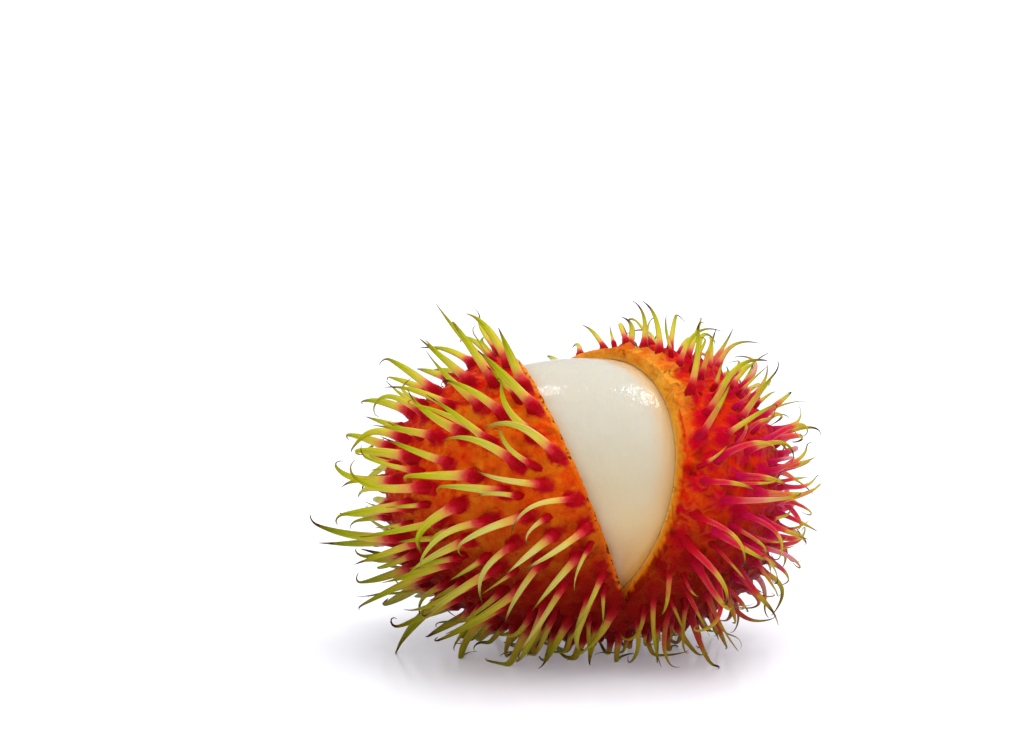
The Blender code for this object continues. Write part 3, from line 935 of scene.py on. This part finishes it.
def spineMarks(root, normal, rng):  # numbers for a whole spine, read by its material
    right, up = rightShare(root), max(0.0, normal[2])
    heart = np.linalg.norm((root - spines["creamHeart"]) / spines["creamReach"])
    pink = 0.06 + 0.9 * smoothStep(0.0, 13.0, root[0]) - right * max(0.6 * normal[2], -0.35 * normal[2])
    marks = {
        "blush": pink + rng.normal(0.0, 0.16),
        "magenta": smoothStep(10.0, 22.0, root[0]) + rng.normal(0.0, 0.15),
        "cream": max(0.0, min(1.0, 1.15 - heart + rng.normal(0.0, 0.12))) * (1 - right),
        # Pale pink mid-parts on some far right spines: partly their own colour, partly painted highlight.
        "palePinkGlint": (rng.random() < spines["palePinkGlintShare"]) * smoothStep(14.0, 20.0, root[0]),
        # Greener low on the left, the spines' own colour; less green on top, painted light.
        "greenTintAndTopLight": 0.45 + 0.45 * lowerLeft(normal) - 0.25 * up + rng.normal(0.0, 0.2),
        "shade": smoothStep(-0.1, 0.85, -normal[2]),
    }
    marks = {name: np.clip(value, 0.0, 1.0) for name, value in marks.items()}
    marks["dry"] = rng.beta(2.0, 3.0) + spines["topDryness"] * up * right
    return marks


def makeSpines(name, shoots, seed, sides, stations, slim, material):
    rng = np.random.default_rng(seed)
    turns = 2 * math.pi * np.arange(sides) / sides
    verts, faces, uvs, marks = [], [], [], {}
    for number, (root, path, curl) in enumerate(shoots):
        normal = bodyNormal(root)
        line = spineLine(root, normal, path, curl, rng)
        low = lowerLeft(normal)
        nearHeart = max(0.0, 1.1 - np.linalg.norm((root - spines["creamHeart"]) / spines["creamReach"]))
        width = slim * rng.uniform(*spines["sizeRange"])
        width *= 1 + 0.22 * low - 0.3 * rightShare(root) - 0.22 * nearHeart
        flat = rng.uniform(*spines["flatness"]) - 0.1 * low
        twist = rng.normal(0.0, spines["twist"])
        rings, share = spineTube(line, normal, width, flat, twist, sides, stations)
        verts.append(rings.reshape(-1, 3))
        base = number * stations * sides
        for station in range(stations - 1):
            here, there = base + station * sides, base + (station + 1) * sides
            start, end = station / (stations - 1), (station + 1) / (stations - 1)
            for side in range(sides):
                after = (side + 1) % sides
                left, right = side / sides, (side + 1) / sides
                faces.append([here + side, here + after, there + after, there + side])
                uvs.extend([(left, start), (right, start), (right, end), (left, end)])
        faces.append([base + (stations - 1) * sides + side for side in range(sides)])
        faces.append([base + side for side in reversed(range(sides))])
        uvs.extend([(side / sides, end) for end in (1.0, 0.0) for side in range(sides)])
        whole = spineMarks(root, normal, rng)
        whole["along"] = np.repeat(share, sides)
        whole["edge"] = np.tile(np.cos(turns) ** 2, stations)
        for mark, value in whole.items():
            marks.setdefault(mark, []).append(np.broadcast_to(value, stations * sides))
    verts = np.concatenate(verts)
    verts[:, 2] = np.maximum(verts[:, 2], floorLevel)
    piece = makeObject(name, verts, faces, material)
    layer = piece.data.uv_layers.new(name="ribbon")
    layer.data.foreach_set("uv", np.array(uvs, dtype=np.float32).ravel())
    paintPoints(piece, **{mark: np.concatenate(values) for mark, values in marks.items()})
    return piece


def spineMaterial():
    # In both ramps the lowest stops darken the root: partly the spines' own crimson, partly painted shade
    # where they leave the rind.
    greenStops = (
        (0.03, (0.38, 0.001, 0.005)),
        (0.08, (0.5, 0.002, 0.014)),
        (0.14, (0.66, 0.06, 0.05)),
        (0.21, (0.74, 0.34, 0.07)),
        (0.31, (0.67, 0.56, 0.032)),
        (0.66, (0.47, 0.47, 0.008)),
        (0.85, (0.32, 0.26, 0.01)),
        (0.94, (0.055, 0.022, 0.006)),
    )
    pinkStops = (
        (0.05, (0.38, 0.001, 0.006)),
        (0.18, (0.58, 0.002, 0.016)),
        (0.4, (0.72, 0.004, 0.036)),
        (0.49, (0.7, 0.08, 0.045)),
        (0.57, (0.66, 0.42, 0.05)),
        (0.78, (0.48, 0.44, 0.014)),
        (0.88, (0.26, 0.18, 0.01)),
        (0.94, (0.05, 0.02, 0.006)),
    )
    colours = {
        "leafGreen": (0.72, 0.88, 0.4),
        "paleEdgeHighlight": (0.86, 0.42, 0.3),
        "magenta": (0.58, 0.004, 0.085),
        "palePinkGlint": (0.78, 0.3, 0.38),
        "cream": (0.82, 0.69, 0.28),
        "shade": (0.4, 0.27, 0.12),
        "groove": (0.55, 0.46, 0.22),
        "fleck": (0.06, 0.018, 0.006),
    }
    material, surface = newMaterial("spines")

    def reach(low, high):  # a share of the way along the spine
        return stretchRange("along", low, high)

    place = addNode("TexCoord").outputs
    mottle = placeMottle(place["Object"], 420.0, 2200.0)
    flecks = placeFlecks(place["Object"], 520.0, 0.3)
    ribbon = addNode("Mapping", {"Vector": place["UV"], "Scale": (14.0, 1.6, 1.0)})
    stripes = addNode("TexNoise", {"Vector": ribbon, "Scale": 1.0, "Detail": 2.0})
    dryness = scaleAdd("dry", 0.34, -0.16)
    warped = scaleAdd(dryness, reckon("POWER", "along", 2.0), "along")
    warped = scaleAdd(mottle["Patches"], 0.06, warped)
    green = layColours(
        colourRamp(warped, greenStops),
        # Leaf green, held back on top as painted light.
        (times("greenTintAndTopLight", reach(0.15, 0.5)), colours["leafGreen"], "MULTIPLY"),
        (times("cream", reach(0.18, 0.4), reach(0.95, 0.7), 0.7), colours["cream"]),
    )
    pink = layColours(
        colourRamp(warped, pinkStops),
        (times("magenta", reach(0.5, 0.1), 0.7), colours["magenta"]),
        # Pale pink, partly painted highlight.
        (times("palePinkGlint", reach(0.15, 0.4), reach(0.85, 0.6), 0.8), colours["palePinkGlint"]),
    )
    lines = times(stretchRange(stripes, 0.46, 0.64), 0.42, reach(0.2, 0.4))
    colour = layColours(
        green,
        (stretchRange("blush", 0.36, 0.84), pink),
        # Pale sides near the root: partly the spines' own pale stripes, partly painted highlight lines.
        (times("edge", reach(0.1, 0.25), reach(0.6, 0.35), 0.2), colours["paleEdgeHighlight"]),
        (times("shade", 0.8), colours["shade"], "MULTIPLY"),
        (lines, colours["groove"], "MULTIPLY"),
        (times(flecks, reach(0.3, 0.8)), colours["fleck"]),
    )
    dressSurface(surface, colour, scaleAdd(mottle["Patches"], 0.2, 0.24), spines)
    addRelief(surface, scaleAdd(mottle["Relief"], 0.4, stripes), 0.6, 0.00025)
    return material


# Flesh: a moist egg of translucent pulp, a little dimpled.
def speckSpot(points):  # the point on the flesh's front that is nearest to the one small red mark
    front = points[points[:, 1] < 0]
    return front[np.argmin(np.hypot(front[:, 0] - flesh["speckAt"][0], front[:, 2] - flesh["speckAt"][1]))]


def makeFlesh():
    bands, segments, power = flesh["bands"], flesh["segments"], 2 / flesh["bluntness"]
    rings = []
    for step in range(1, bands):
        theta = math.pi * step / bands
        alongX = -flesh["halfLength"] * math.copysign(abs(math.cos(theta)) ** power, math.cos(theta))
        radius = flesh["radius"] * math.sin(theta) ** power
        turns = 2 * math.pi * np.arange(segments) / segments
        ring = [np.full(segments, alongX), radius * np.cos(turns), radius * np.sin(turns)]
        rings.append(np.stack(ring, axis=-1))
    ends = np.array([[-flesh["halfLength"], 0.0, 0.0], [flesh["halfLength"], 0.0, 0.0]])
    points = np.concatenate([*rings, ends])
    outward = unit(points / np.array([flesh["halfLength"], flesh["radius"], flesh["radius"]]) ** 2)
    dimples = np.minimum(0.0, rumple(points, 4.5, 11)) + 0.4 * rumple(points * [0.4, 1.0, 1.0], 1.6, 12)
    points = points + outward * (flesh["dimple"] * (dimples - 0.4))[:, None] + flesh["offset"]
    faces = []
    for ring in range(bands - 2):
        for index in range(segments):
            after = (index + 1) % segments
            here, there = ring * segments, (ring + 1) * segments
            faces.append([here + index, there + index, there + after, here + after])
    left, right, last = len(points) - 2, len(points) - 1, (bands - 2) * segments
    for index in range(segments):
        after = (index + 1) % segments
        faces.append([index, after, left])
        faces.append([last + after, last + index, right])
    piece = makeObject("fleshEgg", points, faces, fleshMaterial())
    paintPoints(
        piece,
        # Painted light and shade: the flesh is lighter on top and darker towards the bottom.
        bright=smoothStep(-14.0, 15.0, points[:, 2]),
        rightEdge=1 - smoothStep(0.0, 3.2, -beyondCut(points, fruit["rightCut"])),
        leftEdge=1 - smoothStep(0.0, 1.8, beyondCut(points, fruit["leftCut"])),
        speck=1 - smoothStep(*flesh["speckSize"], sizeOf(points - speckSpot(points))),
    )
    return piece


def fleshMaterial():
    # Painted light: lighter on top, darker and more orange below, where orange light thrown from the rind is
    # painted in.
    brightStops = (
        (0.0, (0.44, 0.16, 0.02)),
        (0.2, (0.54, 0.29, 0.07)),
        (0.45, (0.65, 0.48, 0.235)),
        (0.75, (0.65, 0.56, 0.38)),
        (1.0, (0.62, 0.58, 0.48)),
    )
    colours = {
        "milk": (0.66, 0.61, 0.5),
        "streak": (0.52, 0.42, 0.27),
        "rightEdge": (0.72, 0.42, 0.11),
        "leftEdge": (0.52, 0.36, 0.2),
        "speck": (0.36, 0.05, 0.04),
    }
    material, surface = newMaterial("fleshEgg")
    place = addNode("TexCoord").outputs["Object"]
    cloud = placeMottle(place, 110.0, 520.0)
    drawn = addNode("Mapping", {"Vector": place, "Scale": (1.0, 0.35, 0.3)})
    streaks = placeMottle(drawn, 330.0, 1200.0)
    colour = layColours(
        colourRamp("bright", brightStops),
        (times(cloud["Patches"], 0.25), colours["milk"]),
        (times(streaks["Patches"], 0.1), colours["streak"]),
        (times("rightEdge", 0.7), colours["rightEdge"]),
        (times("leftEdge", 0.35), colours["leftEdge"]),
        ("speck", colours["speck"]),
    )
    dressSurface(surface, colour, scaleAdd(streaks["Patches"], 0.16, 0.08), flesh)
    relief = scaleAdd(streaks["Relief"], 0.7, cloud["Relief"])
    addRelief(surface, relief, 0.55, 0.0006)
    return material


# Studio: a pale glossy floor under a bright sky, a broad soft key from behind, and soft boxes.
studio = {
    "floorSize": 12.0,
    "floorColour": (0.91, 0.915, 0.95),
    "floorGlow": (0.92, 0.9, 1.0),
    "floorGlowStrength": 0.2,
    "floorRoughness": 0.22,
    "surround": (0.95, 0.97, 1.0),
    "surroundStrength": 0.68,
    "keyFrom": (0.22, 0.06, 0.97),
    "keyStrength": 1.8,
    "keySpread": 60.0,  # degrees across
    "boxes": (  # name, place, size, watts, and whether it is mirrored in the fruit
        ("frontBox", (-0.25, -0.6, 0.4), 0.45, 0.6, False),
        ("rightGlint", (0.21, 0.2, 0.5), 0.1, 0.4, True),
        ("leftGlint", (-0.1, 0.2, 0.56), 0.05, 0.1, True),
    ),
}

camera = {
    "fromMiddle": np.array([-8.4375, -487.294, 112.92]),
    "downTilt": 11.4,
    "focalPixels": 4000.0,
    "framePixels": 1027.0,
    "sensor": 36.0,
}


def makeStudio():
    half = studio["floorSize"] / 2
    mesh = bpy.data.meshes.new("floor")
    corners = [(-half, -half, 0), (half, -half, 0), (half, half, 0), (-half, half, 0)]
    mesh.from_pydata(corners, [], [(0, 1, 2, 3)])
    floor = addToScene("floor", mesh)
    material, surface = newMaterial("paleFloor")
    sources = {
        "Base Color": studio["floorColour"],
        "Emission Color": studio["floorGlow"],
        "Emission Strength": studio["floorGlowStrength"],
        "Roughness": studio["floorRoughness"],
    }
    feed(surface.inputs, sources)
    mesh.materials.append(material)
    world = bpy.data.worlds.new("surround")
    bpy.context.scene.world = world
    world.use_nodes = True
    background = world.node_tree.nodes["Background"]
    feed(background.inputs, {"Color": studio["surround"], "Strength": studio["surroundStrength"]})
    key = bpy.data.lights.new("key", "SUN")
    key.energy, key.angle = studio["keyStrength"], math.radians(studio["keySpread"])
    sun = addToScene("key", key)
    sun.visible_glossy = False  # its wide disc would show in the flesh
    sun.rotation_euler = Vector(studio["keyFrom"]).to_track_quat("Z", "Y").to_euler()
    for name, place, size, power, mirrored in studio["boxes"]:
        light = bpy.data.lights.new(name, "AREA")
        light.size, light.energy = size, power
        box = addToScene(name, light)
        box.location = place
        box.visible_glossy = mirrored
        aim = Vector(fruit["centre"] * mm) - Vector(place)
        box.rotation_euler = aim.to_track_quat("-Z", "Y").to_euler()


def makeCamera():
    data = bpy.data.cameras.new("camera")
    eye = addToScene("camera", data)
    data.sensor_width = camera["sensor"]
    data.lens = camera["focalPixels"] / camera["framePixels"] * camera["sensor"]
    data.clip_start, data.clip_end = 0.01, 50.0
    eye.location = (fruit["centre"] + camera["fromMiddle"]) * mm
    eye.rotation_euler = (math.radians(90 - camera["downTilt"]), 0.0, 0.0)
    bpy.context.scene.camera = eye


rng = np.random.default_rng(roots["seed"])
places = rootLattice(rng)
grown = growSpines(places, rng)
print("spines grown", len(grown))
rindSkin = makeSkin(places, grown)
print("skin made", len(rindSkin.data.polygons))
shoots = [(places[index], path, curl) for index, (path, curl) in grown.items()]
fine = growFine(places, grown)
spineLook = spineMaterial()
size = (spines["sides"], spines["stations"], 1.0)
spineCoat = makeSpines("spines", shoots, spines["seed"], *size, spineLook)
print("spines made", len(spineCoat.data.polygons))
size = (spines["fineSides"], spines["fineStations"], spines["fineSlim"])
fineCoat = makeSpines("fineSpines", fine, spines["fineSeed"], *size, spineLook)
print("fine spines made", len(fine), len(fineCoat.data.polygons))
fleshEgg = makeFlesh()
print("flesh made", len(fleshEgg.data.polygons))

for piece, node in ((rindSkin, "rind"), (spineCoat, "rind"), (fineCoat, "rind"), (fleshEgg, "flesh")):
    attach(piece, "root")
    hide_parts(node)

makeStudio()
makeCamera()
bpy.context.scene.view_settings.view_transform = "Standard"
lookTrees = [piece.data.materials[0].node_tree for piece in (rindSkin, spineCoat, fleshEgg)]
for tree in (*lookTrees, waxMottle, brownFleck):
    layOut(tree)
print("studio and camera made")
